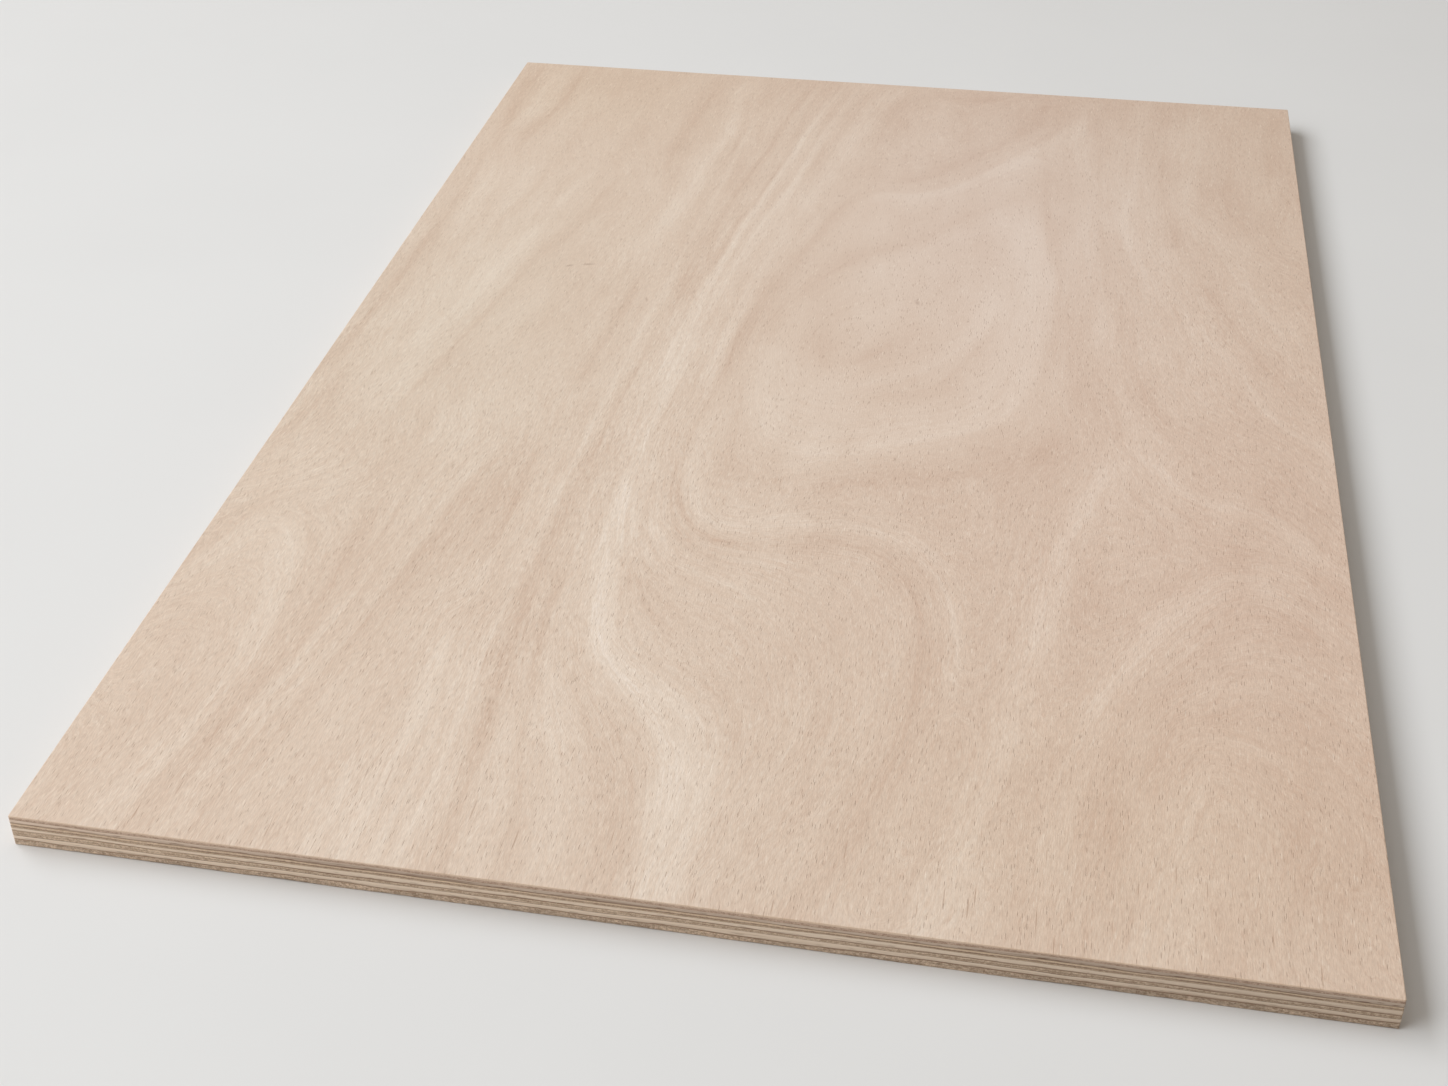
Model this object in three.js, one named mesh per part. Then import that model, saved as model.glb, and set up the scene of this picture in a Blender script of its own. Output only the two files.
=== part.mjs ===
// A sheet of seven-ply plywood, sawn square and sanded on both faces.
//
// The veneers lie one on another with their grain crossed: the face, the back and every second
// veneer between them run along the sheet, and the others run across it.
//
// Millimetres, +Z up. The origin is the centre of the underside, X is the sheet's width and Y
// its length.

import * as THREE from 'three';

// The sheet
const sheetWidth = 600;
const sheetLength = 900;

// The veneers, from the sanded face down to the back
const faceThickness = 2.3;
const upperCrossbandThickness = 2.2;
const upperInnerThickness = 2.1;
const middleCrossbandThickness = 2.4;
const lowerInnerThickness = 2.2;
const lowerCrossbandThickness = 2.7;
const backThickness = 3.1;

// The edges
const sideShrinkage = 0.15; // a veneer dries back from the saw cut across its grain, on each side
const cornerRadius = 0.6; // the sheet's upright corners, rubbed by the sanding block
const faceArris = 0.4; // the sanded edge round the face
const backArris = 0.8; // the edge round the back, which wears more as the sheet is slid about
const glueLineEasing = 0.12; // a veneer's edge next to a glue line

const cornerSteps = 4; // straight steps round each upright corner

const ALONG = 'along the sheet';
const ACROSS = 'across the sheet';

// One entry for each veneer, from the underside up, because that is how the stack is laid.
const veneers = [
  {
    name: 'back_veneer', grain: ALONG, thickness: backThickness,
    lowerEasing: backArris, upperEasing: glueLineEasing, color: 0x9b8773,
  },
  {
    name: 'lower_crossband', grain: ACROSS, thickness: lowerCrossbandThickness,
    lowerEasing: glueLineEasing, upperEasing: glueLineEasing, color: 0xbcaa98,
  },
  {
    name: 'lower_inner_veneer', grain: ALONG, thickness: lowerInnerThickness,
    lowerEasing: glueLineEasing, upperEasing: glueLineEasing, color: 0xa6937f,
  },
  {
    name: 'middle_crossband', grain: ACROSS, thickness: middleCrossbandThickness,
    lowerEasing: glueLineEasing, upperEasing: glueLineEasing, color: 0xbca895,
  },
  {
    name: 'upper_inner_veneer', grain: ALONG, thickness: upperInnerThickness,
    lowerEasing: glueLineEasing, upperEasing: glueLineEasing, color: 0xa38d77,
  },
  {
    name: 'upper_crossband', grain: ACROSS, thickness: upperCrossbandThickness,
    lowerEasing: glueLineEasing, upperEasing: glueLineEasing, color: 0xaf9f8d,
  },
  {
    name: 'face_veneer', grain: ALONG, thickness: faceThickness,
    lowerEasing: glueLineEasing, upperEasing: faceArris, color: 0xdcc7b1,
  },
];

// A rectangle with rounded corners round the Z axis, anticlockwise from above.
function roundedRectangle(width, length, radius, height) {
  const points = [];
  for (let corner = 0; corner < 4; corner += 1) {
    const signX = corner === 0 || corner === 3 ? 1 : -1;
    const signY = corner < 2 ? 1 : -1;
    const centreX = signX * (width / 2 - radius);
    const centreY = signY * (length / 2 - radius);
    for (let step = 0; step <= cornerSteps; step += 1) {
      const angle = (corner + step / cornerSteps) * (Math.PI / 2);
      points.push(new THREE.Vector3(
        centreX + radius * Math.cos(angle),
        centreY + radius * Math.sin(angle),
        height,
      ));
    }
  }
  return points;
}

// A closed body through rings of equally many points, from its lowest ring to its highest. The
// rings are convex and each has an even number of points, so each end is a strip that zigzags
// between the ring's two halves.
function loft(rings) {
  const count = rings[0].length;
  const lastRing = (rings.length - 1) * count;

  const triangles = [];
  for (let right = 0, left = count - 1; right + 1 < left; right += 1, left -= 1) {
    for (const [a, b, c] of [[right, right + 1, left], [right + 1, left - 1, left]]) {
      triangles.push(c, b, a);
      triangles.push(lastRing + a, lastRing + b, lastRing + c);
    }
  }
  for (let start = 0; start < lastRing; start += count) {
    const above = start + count;
    for (let point = 0; point < count; point += 1) {
      const next = (point + 1) % count;
      triangles.push(start + point, start + next, above + next);
      triangles.push(start + point, above + next, above + point);
    }
  }

  const geometry = new THREE.BufferGeometry().setFromPoints(rings.flat());
  geometry.setIndex(triangles);
  geometry.computeVertexNormals();
  return geometry;
}

// A veneer from height 0 up, as large as the saw cut leaves it after it has dried back.
function veneerGeometry({ grain, thickness, lowerEasing, upperEasing }) {
  const width = grain === ALONG ? sheetWidth - 2 * sideShrinkage : sheetWidth;
  const length = grain === ACROSS ? sheetLength - 2 * sideShrinkage : sheetLength;
  const ring = (inset, height) => (
    roundedRectangle(width - 2 * inset, length - 2 * inset, cornerRadius, height)
  );
  return loft([
    ring(lowerEasing, 0),
    ring(0, lowerEasing),
    ring(0, thickness - upperEasing),
    ring(upperEasing, thickness),
  ]);
}

const sheet = new THREE.Group();
let level = 0;
for (const veneer of veneers) {
  const mesh = new THREE.Mesh(
    veneerGeometry(veneer),
    new THREE.MeshStandardMaterial({
      color: veneer.color, roughness: 0.72, metalness: 0, flatShading: true,
    }),
  );
  mesh.name = veneer.name;
  mesh.position.z = level;
  sheet.add(mesh);
  // The next veneer starts where this one's vertices end, which are held as 32-bit numbers.
  level += Math.fround(veneer.thickness);
}

export default sheet;
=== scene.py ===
"""The looks of a seven-ply plywood sheet: a sanded, figured face over crossed veneers."""

import math

import bpy
import numpy as np
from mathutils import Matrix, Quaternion, Vector


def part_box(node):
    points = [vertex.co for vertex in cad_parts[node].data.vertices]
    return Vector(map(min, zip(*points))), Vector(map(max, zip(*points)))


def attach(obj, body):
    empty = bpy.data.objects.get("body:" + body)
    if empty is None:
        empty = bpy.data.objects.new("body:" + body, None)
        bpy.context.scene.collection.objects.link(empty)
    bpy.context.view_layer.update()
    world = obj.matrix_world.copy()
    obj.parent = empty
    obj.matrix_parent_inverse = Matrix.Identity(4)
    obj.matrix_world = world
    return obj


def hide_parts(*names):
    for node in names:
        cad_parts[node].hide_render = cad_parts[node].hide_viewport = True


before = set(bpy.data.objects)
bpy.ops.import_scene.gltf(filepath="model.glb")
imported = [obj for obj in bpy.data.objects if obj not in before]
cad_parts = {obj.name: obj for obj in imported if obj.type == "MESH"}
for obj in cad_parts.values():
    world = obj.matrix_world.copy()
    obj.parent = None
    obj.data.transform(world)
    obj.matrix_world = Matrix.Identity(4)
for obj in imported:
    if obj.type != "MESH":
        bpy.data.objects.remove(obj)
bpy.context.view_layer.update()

MM = 0.001
TINY = 1e-9
rng = np.random.default_rng(7)

# ---- Sizes in millimetres, from the frame ----

STACK = ["back_veneer", "lower_crossband", "lower_inner_veneer", "middle_crossband",
         "upper_inner_veneer", "upper_crossband", "face_veneer"]
ACROSS = ["lower_crossband", "middle_crossband", "upper_crossband"]


def node_box(node):
    """A veneer's lowest and highest corners."""
    low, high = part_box(node)
    return np.array(low) / MM, np.array(high) / MM


BOXES = {node: node_box(node) for node in STACK}
LEVELS = [BOXES[node][0][2] for node in STACK] + [BOXES[STACK[-1]][1][2]]
HALF_WIDTH = max(high[0] for low, high in BOXES.values())
HALF_LENGTH = max(high[1] for low, high in BOXES.values())
THICKNESS = LEVELS[-1]

CORNER_RADIUS = 0.8
FACE_ARRIS = 0.45
FACE_ARRIS_RANGE = (0.3, 0.6)
BACK_ARRIS = 0.8
BACK_ARRIS_RANGE = (0.4, 1.3)
SANDED_RELIEF = 0.012

GLUE_SETBACK = 0.15
GLUE_GROOVE = 0.14
GLUE_WAVE = 0.34
WAVE_LIMIT = 1.6
GLUE_EASING = 0.10
EASING_REACH = 0.07

SAW_MARKS = 0.035
DEEPEST_CUT = 0.14

# ---- The figure of the face ----

# Growth lines of the peeled log. Each has its ring counted from the left edge, how light (+) or
# dark (-) it is, how far it fades to its left and right in mm, and the places it runs through, in
# mm from the near left corner. Left and right are for a line that runs towards the near end.
LINES = [
    # left edge
    (0.0, -0.7, 4, 4, [(15, 900), (15, 860), (13, 830), (17, 780), (17, 700), (17, 620), (14, 540),
        (10, 480), (5, 430), (0, 395)]),
    (0.2, -0.7, 4, 4, [(22, 410), (15, 370), (8, 330), (0, 300)]),
    (1.0, 0.8, 6, 6, [(34, 900), (31, 850), (28, 800), (21, 760)]),
    (1.6, -0.7, 4, 4, [(49, 900), (50, 860), (47, 820), (40, 780), (33, 735)]),
    (2.4, 0.2, 6, 6, [(68, 900), (64, 850), (60, 800), (58, 740)]),
    (1.4, 0.35, 7, 9, [(30, 700), (28, 640), (32, 580), (34, 520), (32, 460), (30, 400)]),
    (2.2, 0.3, 8, 2, [(62, 685), (55, 650), (50, 600), (46, 540)]),
    (2.5, -0.55, 2, 3, [(70, 720), (67, 670), (58, 630), (52, 590)]),
    (2.9, -0.25, 2, 3, [(92, 720), (85, 680), (79, 630), (74, 580)]),
    (2.6, 0.8, 10, 6, [(93, 631), (86, 605), (80, 578), (74, 545), (68, 505), (62, 470), (56, 440),
        (53, 400), (46, 340)]),
    (3.2, 0.65, 9, 6, [(106, 705), (98, 680), (90, 650), (85, 620)]),
    (3.6, -0.5, 3, 7, [(126, 705), (116, 665), (110, 630), (101, 590), (91, 545), (84, 500), (77, 455),
        (71, 415), (64, 375), (62, 345)]),
    (3.85, -0.3, 5, 5, [(73, 395), (82, 350), (88, 320)]),
    (3.75, -0.25, 7, 7, [(66, 365), (71, 330), (78, 290), (83, 240), (84, 190)]),
    (4.1, 0.5, 4, 6, [(86, 385), (92, 360), (98, 335)]),
    # lower left arch
    (3.7, -0.45, 6, 3, [(32, 262), (20, 250), (10, 225), (2, 198), (0, 185)]),
    (3.7, -0.3, 3, 6, [(32, 262), (50, 250), (62, 222), (69, 180), (72, 135), (69, 100), (63, 65),
        (57, 40), (53, 0)]),
    (3.3, 0.4, 5, 9, [(36, 243), (26, 238), (17, 224), (8, 200), (0, 174)]),
    (3.3, 0.6, 10, 5, [(30, 241), (40, 239), (48, 228), (55, 205), (63, 160), (66, 126), (63, 94),
        (57, 60), (51, 30), (46, 0)]),
    (2.6, 0.1, 4, 5, [(2, 110), (9, 138), (20, 160), (32, 152), (40, 120), (41, 80)]),
    (2.9, -0.25, 3, 3, [(6, 170), (20, 188), (36, 180), (46, 150), (50, 110), (49, 60)]),
    (2.2, -0.1, 6, 6, [(16, 130), (24, 138), (30, 115), (26, 60)]),
    (4.1, -0.35, 3, 3, [(77, 262), (81, 235), (83, 200), (82, 150), (78, 110), (72, 70), (65, 25),
        (61, 0)]),
    # flame
    (4.4, 0.3, 2, 2, [(94, 300), (93, 250), (90, 200), (87, 160)]),
    (4.55, -0.3, 2, 2, [(98, 275), (95, 235), (90, 190), (84, 145), (77, 100)]),
    (4.7, 0.6, 2, 4, [(107, 330), (103, 277), (101, 235), (96, 182), (89, 135), (82, 100), (77, 72),
        (71, 35), (68, 0)]),
    (4.85, -0.1, 2, 2, [(115, 306), (110, 270), (108, 235), (102, 190), (94, 140), (87, 100)]),
    (5.0, 0.6, 4, 3, [(129, 335), (125, 309), (119, 271), (116, 241), (110, 194), (104, 150), (98, 118),
        (91, 85), (87, 62)]),
    (5.4, -0.55, 2, 9, [(147, 346), (134, 313), (126, 275), (121, 235), (115, 190), (109, 145),
        (103, 112), (97, 80), (90, 40), (84, 0)]),
    (6.2, -0.45, 9, 4, [(150, 348), (155, 320), (157, 285), (156, 245), (153, 205)]),
    (5.7, -0.1, 8, 8, [(140, 305), (134, 250), (128, 195), (122, 150)]),
    (5.95, -0.5, 12, 12, [(148, 325), (146, 290), (143, 250), (139, 210)]),
    # between the flame and the bundle
    (5.8, -0.5, 4, 4, [(162, 900), (161, 865), (157, 830), (153, 790), (152, 740), (155, 700)]),
    (6.6, 0.75, 8, 6, [(190, 900), (182, 860), (183, 815), (186, 780), (179, 740), (180, 700), (173, 655),
        (168, 610)]),
    (7.1, -1.0, 2, 2, [(197, 820), (197, 770), (193, 735)]),
    (6.7, -0.9, 5, 3, [(172, 560), (169, 510), (165, 460), (163, 430), (160, 395)]),
    (8.0, 0.4, 2, 2, [(222, 900), (214, 862), (205, 828), (201, 795), (199, 740), (197, 700), (195, 655),
        (192, 605), (190, 560), (187, 515), (184, 455), (182, 410), (180, 345), (178, 290), (177, 225),
        (177, 170), (178, 130), (180, 75), (180, 20), (181, 0)]),
    (9.0, -0.6, 3, 3, [(203, 590), (200, 540), (197, 495), (195, 450), (192, 400), (190, 350), (188, 290),
        (187, 230), (188, 180), (191, 130), (195, 75), (198, 20), (198, 0)]),
    (8.6, -0.5, 5, 5, [(189, 190), (189, 130), (193, 75), (194, 20), (194, 0)]),
    (7.95, 0.6, 3, 3, [(178, 200), (177, 130), (180, 75), (180, 20), (181, 0)]),
    (7.65, 0.8, 3, 3, [(171, 180), (169, 130), (170, 75), (169, 20), (169, 0)]),
    (7.3, 1.1, 7, 3, [(158, 175), (159, 130), (160, 75), (158, 20), (157, 0)]),
    (6.9, 0.75, 4, 5, [(141, 75), (141, 50), (140, 20), (139, 0)]),
    # the bundle
    (8.8, -0.6, 3, 4, [(236, 900), (231, 860), (224, 805), (221, 765), (215, 720), (211, 680), (207, 635),
        (204, 590)]),
    (9.6, 0.35, 2, 3, [(241, 900), (236, 860), (230, 820), (227, 780), (223, 750), (219, 720), (215, 685),
        (211, 640), (208, 600)]),
    (10.2, -0.8, 2, 2, [(236, 750), (232, 720), (227, 680), (222, 650), (217, 610), (213, 560)]),
    (10.6, 0.95, 2, 4, [(264, 900), (256, 872), (250, 840), (246, 805), (242, 770), (238, 740),
        (234, 708), (229, 678), (225, 645), (221, 610), (217, 570), (214, 535), (212, 500), (210, 455),
        (209, 420)]),
    (11.4, 0.85, 2, 4, [(275, 900), (267, 855), (261, 820), (256, 780), (252, 745), (247, 705),
        (242, 670), (237, 645), (231, 610), (227, 570), (223, 535), (221, 500)]),
    (12.2, -0.2, 3, 3, [(243, 620), (240, 590), (236, 555), (234, 520)]),
    (12.6, 0.45, 3, 3, [(256, 660), (250, 620), (246, 585), (243, 550), (240, 510), (238, 455),
        (239, 410)]),
    (12.3, -0.5, 5, 5, [(286, 900), (278, 862), (270, 815), (262, 770), (257, 735), (252, 700)]),
    (13.2, 0.6, 7, 9, [(302, 900), (292, 865), (284, 830), (279, 795), (276, 760), (268, 720), (261, 685),
        (257, 655)]),
    (14.0, -0.65, 3, 7, [(303, 712), (291, 690), (283, 662), (277, 635), (268, 605), (261, 575),
        (255, 545), (251, 510), (248, 470), (246, 425)]),
    (10.9, 0.6, 2, 9, [(221, 500), (217, 455), (213, 410), (211, 360), (210, 310)]),
    # the ridge
    (11.0, 1.15, 4, 11, [(212, 320), (213, 280), (216, 240), (221, 205), (226, 180), (236, 157),
        (248, 141), (261, 125), (272, 108), (280, 90), (284, 62), (286, 30), (286, 0)]),
    (11.3, 0.75, 8, 9, [(237, 172), (252, 154), (267, 141), (283, 126), (293, 108), (298, 86), (300, 60),
        (301, 30), (302, 0)]),
    (10.3, -0.45, 9, 3, [(210, 200), (217, 165), (230, 137), (246, 112), (260, 86), (270, 60), (273, 30),
        (273, 0)]),
    (9.7, 0.35, 3, 8, [(206, 250), (207, 210), (210, 165), (217, 127), (227, 95), (235, 62), (241, 30),
        (242, 0)]),
    (9.3, -0.5, 4, 5, [(197, 230), (199, 180), (203, 135), (210, 95), (217, 62), (223, 30), (224, 0)]),
    # the fan and the swirl
    (11.6, -0.15, 2, 2, [(229, 250), (236, 225), (246, 200), (260, 180)]),
    (11.6, -0.3, 3, 3, [(262, 166), (282, 152), (298, 138), (308, 118), (311, 95)]),
    (11.8, 0.1, 2, 3, [(227, 300), (230, 265), (238, 238), (249, 216), (262, 200), (282, 190)]),
    (12.1, -0.6, 2, 3, [(228, 320), (230, 285), (234, 261), (241, 246), (250, 234), (262, 224),
        (285, 212)]),
    (12.3, 0.4, 2, 3, [(232, 320), (234, 285), (239, 264), (248, 249), (261, 237), (278, 229), (300, 218),
        (318, 198), (330, 170), (335, 136), (336, 110), (330, 75), (320, 40), (312, 0)]),
    (12.6, -0.55, 2, 3, [(237, 340), (240, 311), (244, 283), (250, 267), (260, 256), (275, 246),
        (300, 238)]),
    (12.8, -0.15, 3, 3, [(350, 192), (354, 162), (351, 136), (344, 108), (334, 80), (322, 48), (311, 15),
        (308, 0)]),
    (13.0, 0.1, 4, 6, [(240, 400), (238, 340), (242, 300), (251, 276), (268, 258), (292, 250), (322, 240),
        (346, 216), (360, 182), (368, 145), (368, 115), (360, 80), (350, 50), (341, 20), (336, 0)]),
    (13.4, -0.7, 3, 4, [(241, 400), (239, 345), (241, 315), (248, 290), (260, 272), (278, 264),
        (300, 266)]),
    (13.6, -0.65, 6, 9, [(300, 266), (322, 272), (345, 273), (362, 264), (376, 246), (387, 218),
        (392, 188), (391, 150), (383, 110), (376, 80), (366, 50), (357, 20), (352, 0)]),
    (14.4, 0.7, 6, 5, [(246, 400), (245, 350), (249, 312), (259, 288), (276, 278), (300, 286), (325, 291),
        (350, 290), (370, 282), (385, 268), (396, 245), (403, 215), (405, 180), (404, 140)]),
    # below the eye
    (14.6, -0.6, 13, 9, [(258, 420), (264, 380), (266, 350), (276, 333), (298, 325), (330, 335),
        (365, 345), (400, 352), (430, 372), (452, 410)]),
    # the eye
    (15.0, 0.65, 6, 20, [(268, 480), (268, 440), (272, 404), (280, 378), (292, 364), (308, 360),
        (332, 365), (360, 378), (388, 394), (410, 410), (422, 440), (427, 475), (430, 510), (433, 550),
        (431, 590), (427, 630), (421, 670), (414, 705)]),
    (15.2, 0.32, 9, 16, [(414, 705), (400, 690), (382, 668), (366, 645), (350, 622), (334, 600),
        (318, 580), (300, 562)]),
    (14.8, -0.45, 9, 6, [(400, 700), (386, 688), (370, 668), (352, 642), (332, 622), (312, 608),
        (300, 590), (288, 570), (276, 540), (268, 515), (262, 480)]),
    (14.2, 0.75, 2, 17, [(446, 868), (436, 840), (424, 812), (408, 790), (394, 768), (378, 742),
        (358, 718), (338, 704), (312, 702), (296, 680)]),
    (14.0, -0.5, 9, 3, [(420, 893), (416, 852), (407, 826), (391, 800), (377, 777), (360, 754),
        (343, 735), (324, 725), (302, 722)]),
    (14.5, -0.5, 3, 5, [(423, 750), (426, 715), (429, 680), (433, 640), (439, 600), (442, 560),
        (440, 510), (438, 470)]),
    (15.7, 0.35, 9, 3, [(401, 590), (400, 545), (393, 510), (380, 485), (366, 465), (350, 450),
        (330, 438), (306, 424)]),
    (15.6, -0.45, 2, 9, [(403, 540), (400, 510), (392, 488), (382, 462), (370, 440), (350, 430),
        (326, 418)]),
    (16.1, -0.5, 6, 8, [(352, 512), (342, 492), (328, 474), (312, 462), (303, 470)]),
    (16.2, -0.6, 14, 14, [(300, 504), (303, 484), (308, 464), (314, 446)]),
    (16.3, 0.3, 6, 6, [(348, 545), (330, 528), (308, 512)]),
    (16.0, 0.15, 8, 8, [(384, 590), (376, 560), (360, 530), (345, 512)]),
    # above the eye
    (13.6, -0.4, 8, 14, [(420, 900), (380, 885), (340, 880), (312, 865), (305, 835), (303, 800),
        (300, 770)]),
    (13.8, -0.15, 20, 20, [(385, 800), (350, 780), (320, 760)]),
    # streaks right of the eye
    (13.7, 0.35, 6, 6, [(446, 850), (448, 800), (452, 750), (456, 700), (455, 660), (458, 620),
        (460, 580)]),
    (13.1, -0.35, 4, 4, [(456, 870), (458, 800), (460, 750), (463, 700), (467, 640), (470, 600),
        (475, 560)]),
    (12.5, 0.5, 3, 5, [(488, 900), (489, 850), (487, 790), (484, 740), (480, 690), (484, 650), (495, 600),
        (500, 560)]),
    (12.0, 0.15, 2, 2, [(496, 800), (493, 750), (496, 700), (498, 650)]),
    (11.7, -0.45, 5, 5, [(508, 900), (506, 850), (506, 790), (508, 730), (512, 690), (516, 650),
        (520, 625)]),
    (11.2, 0.3, 7, 5, [(534, 900), (532, 860), (533, 820), (527, 770), (522, 720), (532, 690), (541, 670),
        (548, 640), (557, 610), (565, 580), (575, 545), (582, 510)]),
    (10.4, -0.15, 6, 8, [(556, 840), (554, 790), (550, 750), (556, 700), (566, 670), (584, 645),
        (600, 630)]),
    (9.9, -0.4, 8, 8, [(590, 880), (586, 840), (588, 780), (592, 720), (580, 690), (574, 660)]),
    (11.4, -0.5, 3, 6, [(528, 605), (536, 582), (543, 562), (549, 540), (556, 520), (566, 497),
        (579, 474), (591, 458), (600, 446)]),
    (12.2, 0.2, 7, 9, [(512, 590), (520, 550), (524, 510), (524, 480), (532, 455), (545, 435),
        (555, 420)]),
    (11.9, 0.5, 3, 5, [(552, 500), (556, 470), (564, 445), (577, 424), (590, 412), (597, 400),
        (600, 385)]),
    (12.8, -0.6, 5, 5, [(478, 590), (482, 550), (485, 515), (489, 480), (495, 455), (503, 430),
        (512, 410), (524, 393)]),
    (13.2, 0.25, 5, 5, [(464, 560), (468, 510), (473, 475), (480, 445), (490, 424), (502, 408),
        (514, 394)]),
    (13.6, -0.3, 8, 8, [(452, 560), (455, 500), (458, 460), (462, 430), (468, 405)]),
    # arcs of the right edge
    (13.0, 0.7, 6, 4, [(486, 396), (499, 380), (508, 362), (518, 349), (530, 343), (545, 342), (558, 336),
        (570, 324), (580, 310), (590, 292), (600, 279)]),
    (13.3, 0.3, 6, 4, [(506, 345), (514, 325), (526, 310)]),
    (12.5, -0.4, 8, 8, [(560, 400), (572, 380), (586, 350), (600, 325)]),
    (13.4, -0.2, 8, 3, [(600, 258), (588, 276), (574, 290), (556, 296), (540, 290), (520, 270),
        (503, 248), (488, 228)]),
    (14.0, 0.55, 6, 6, [(600, 222), (587, 236), (574, 252), (560, 267), (546, 274), (534, 268),
        (522, 254), (508, 233), (498, 213), (488, 192), (480, 172), (473, 153), (468, 130)]),
    (14.0, 0.15, 5, 4, [(475, 160), (470, 138), (466, 110), (460, 70), (455, 35), (452, 0)]),
    (14.5, -0.35, 5, 5, [(596, 205), (586, 222), (572, 240), (558, 246), (546, 240), (538, 222)]),
    (15.0, 0.15, 6, 5, [(600, 158), (588, 178), (570, 194), (548, 196), (530, 186), (518, 168)]),
    (15.2, -0.25, 6, 6, [(600, 130), (580, 150), (560, 165), (540, 168), (524, 155), (508, 130),
        (498, 90)]),
    (15.4, 0.5, 5, 3, [(565, 122), (554, 136), (541, 143), (527, 148), (514, 156)]),
    (14.9, 0.1, 4, 3, [(598, 168), (580, 188), (562, 200), (546, 208), (534, 204)]),
    (16.0, 0.6, 14, 16, [(526, 130), (520, 90), (510, 50), (500, 0)]),
    (15.4, -0.25, 10, 12, [(600, 62), (584, 80), (574, 60), (570, 20)]),
    (15.0, -0.4, 5, 5, [(484, 110), (481, 75), (476, 40), (470, 0)]),
    # the valley between the swirl and the arcs
    (13.7, 0.8, 7, 8, [(476, 384), (471, 362), (466, 335), (461, 314), (455, 285), (451, 250), (447, 215),
        (443, 180), (438, 145), (431, 112), (424, 82), (416, 45), (408, 0)]),
    (13.75, 0.4, 8, 8, [(428, 70), (421, 40), (415, 0)]),
    (13.7, -0.1, 3, 8, [(475, 384), (483, 355), (490, 325), (492, 300)]),
    (13.4, -0.15, 10, 10, [(474, 340), (470, 300), (466, 260), (462, 220), (456, 180)]),
    (14.5, -0.25, 12, 12, [(425, 340), (422, 290), (420, 240), (418, 190), (408, 130), (398, 90)]),
    (14.6, -0.1, 6, 6, [(412, 110), (408, 80), (400, 50), (392, 10)]),
]

LINE_STEP = 4
LINE_FADE = 30
LINE_END = 0.15
LINE_SOFTNESS = 1.1
LINE_FALL = 1.6


def smooth_line(points):
    """Points every few millimetres along a smooth curve through the given ones."""
    knots = np.array(points, float)
    knots = np.vstack([2 * knots[0] - knots[1], knots, 2 * knots[-1] - knots[-2]])
    curve = []
    for before, start, end, after in zip(knots[:-3], knots[1:-2], knots[2:-1], knots[3:]):
        count = max(1, int(np.hypot(*(end - start)) / LINE_STEP))
        t = (np.arange(count) / count)[:, None]
        bend = (2 * before - 5 * start + 4 * end - after) * t**2
        twist = (3 * start - before - 3 * end + after) * t**3
        curve.append(0.5 * (2 * start + (end - before) * t + bend + twist))
    return np.vstack(curve + [knots[-2:-1]])


def line_strength(x, y, points, left, right):
    """How much one growth line marks each place: 1 on the line, and less beside it and towards
    its ends, except where it runs off the left or the near edge of the sheet."""
    curve = smooth_line(points)
    starts = curve[:-1]
    steps = curve[1:] - starts
    lengths = np.hypot(*steps.T)
    gone = np.concatenate([[0], np.cumsum(lengths)])
    reach = 3 * LINE_SOFTNESS * max(left, right)
    low = curve.min(axis=0) - reach
    high = curve.max(axis=0) + reach
    near = (x > low[0]) & (x < high[0]) & (y > low[1]) & (y < high[1])
    px = x[near]
    py = y[near]
    nearest = np.full(px.shape, np.inf)
    side = np.zeros(px.shape)
    along = np.zeros(px.shape)
    for start, step, length, before in zip(starts, steps, lengths, gone):
        to_x = px - start[0]
        to_y = py - start[1]
        share = np.clip((to_x * step[0] + to_y * step[1]) / length**2, 0, 1)
        away = np.hypot(to_x - share * step[0], to_y - share * step[1])
        closer = away < nearest
        nearest[closer] = away[closer]
        side[closer] = (step[0] * to_y - step[1] * to_x)[closer]
        along[closer] = (before + share * length)[closer]
    spread = np.where(side > 0, right, left)
    strength = np.exp(-((nearest / (LINE_SOFTNESS * spread)) ** LINE_FALL))
    for end, from_end in ((points[0], along), (points[-1], gone[-1] - along)):
        if 0 not in end:
            strength *= LINE_END + (1 - LINE_END) * np.clip(from_end / LINE_FADE, 0, 1)
    marked = np.zeros(x.shape)
    marked[near] = strength
    return marked


# Where the bright ridge runs, in mm from the near left corner. Fine strands leave its right side.
RIDGE = [(213, 330), (216, 270), (222, 220), (230, 180), (243, 156), (258, 140), (274, 122), (287, 98)]
STRAND_COUNT = 44
STRAND_START = (-5, 8)
STRAND_REACH = (22, 62)
STRAND_TONE = (0.2, 0.5)
STRAND_WIDTH = (1.1, 2.1)


def make_strands():
    """Short lines that leave the ridge: high up they swing out to the right, low down they hook."""
    knots = np.array(RIDGE[::-1], float)
    low = knots[0][1]
    high = knots[-1][1]
    t = np.linspace(0, 1, 8)
    strands = []
    for height in np.linspace(low, high, STRAND_COUNT):
        up = (height - low) / (high - low)
        start = np.interp(height, knots[:, 1], knots[:, 0]) + rng.uniform(*STRAND_START)
        reach = rng.uniform(*STRAND_REACH)
        drop = reach * (0.6 + 1.1 * up) * rng.uniform(0.85, 1.15)
        x = start + reach * (up * t**2 + (1 - up) * (1 - (1 - t) ** 1.7))
        y = height - drop * (up * (1.5 * t - 0.5 * t**2) + (1 - up) * (0.45 * t + 0.55 * t**3))
        tone = rng.choice([-1, 1]) * rng.uniform(*STRAND_TONE)
        strands.append((tone, rng.uniform(*STRAND_WIDTH), np.column_stack([x, y])))
    return strands


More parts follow.
